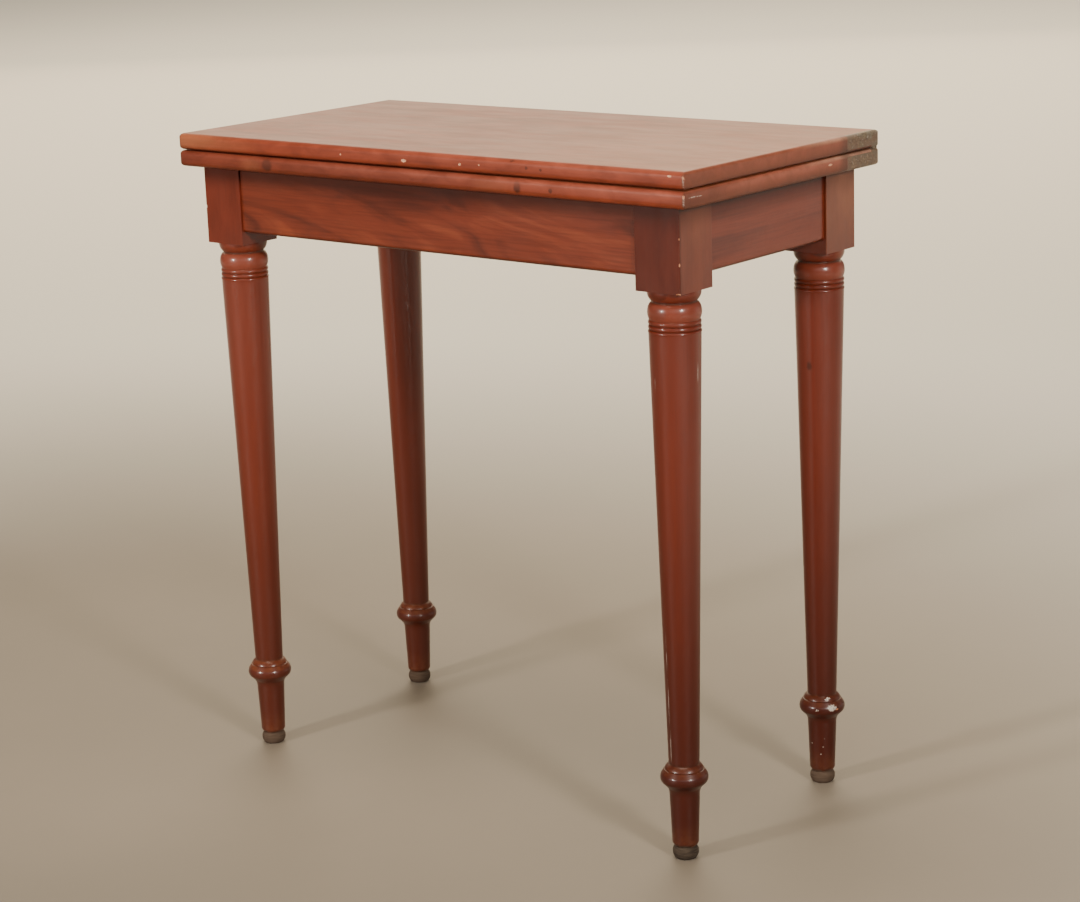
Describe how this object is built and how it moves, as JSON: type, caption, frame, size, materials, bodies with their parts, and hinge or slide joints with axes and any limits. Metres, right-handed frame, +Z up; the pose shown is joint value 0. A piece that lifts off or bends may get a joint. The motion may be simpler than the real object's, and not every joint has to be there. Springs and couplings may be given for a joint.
{
  "type": "folding card table",
  "caption": "Rectangular card table on turned legs whose stacked leaves swivel a quarter turn and unfold on end hinges to a square top over a card well.",
  "frame": {"origin": "on the floor under the middle of the closed top", "axes": "+X to the right along the long side, +Y to the hinged rear side, +Z up"},
  "size_m": [0.72, 0.36, 0.75],
  "materials": {
    "top_wood": "satin",
    "frame_wood": "satin",
    "turned_wood": "gloss",
    "inner_wood": "matte",
    "aged_brass": "tarnished",
    "dark_iron": "matte"
  },
  "bodies": {
    "base": {"leg_front_left": "turned_wood", "leg_front_right": "turned_wood", "leg_rear_left": "turned_wood", "leg_rear_right": "turned_wood", "front_apron": "frame_wood", "rear_apron": "frame_wood", "left_apron": "frame_wood", "right_apron": "frame_wood", "pivot_rail": "inner_wood", "rail_screws": "dark_iron", "well_floor": "inner_wood", "well_partition": "inner_wood", "well_bearer_front": "inner_wood", "well_bearer_rear": "inner_wood", "well_bearer_left": "inner_wood", "bearer_screws": "dark_iron"},
    "lower_leaf": {"lower_leaf": "top_wood", "hinge_plate_lower_left": "aged_brass", "hinge_plate_lower_right": "aged_brass", "hinge_pins_lower": "aged_brass", "hinge_screws_lower": "aged_brass", "pivot_plate": "dark_iron", "pivot_bolt": "dark_iron", "pivot_washer": "dark_iron", "pivot_nut": "dark_iron", "pivot_plate_screws": "dark_iron", "stop_block": "inner_wood", "stop_screws": "dark_iron"},
    "hinge_links": {"hinge_link_left": "aged_brass", "hinge_link_right": "aged_brass"},
    "upper_leaf": {"upper_leaf": "top_wood", "hinge_plate_upper_left": "aged_brass", "hinge_plate_upper_right": "aged_brass", "hinge_pins_upper": "aged_brass", "hinge_screws_upper": "aged_brass"}
  },
  "joints": [
    {"name": "top_swivel", "type": "hinge", "parent": "base", "child": "lower_leaf", "pos_m": [0.09, 0.09, 0.7116], "axis": [0, 0, 1], "range_deg": [0, 90]},
    {"name": "hinge_link_fold", "type": "hinge", "parent": "lower_leaf", "child": "hinge_links", "pos_m": [0, 0.1752, 0.7258], "axis": [-1, 0, 0], "range_deg": [0, 90]},
    {"name": "upper_leaf_fold", "type": "hinge", "parent": "hinge_links", "child": "upper_leaf", "pos_m": [0, 0.1752, 0.7358], "axis": [-1, 0, 0], "range_deg": [0, 90]}
  ],
  "couplings": [
    {"joint": "hinge_link_fold", "follows": "upper_leaf_fold", "ratio": 1}
  ]
}
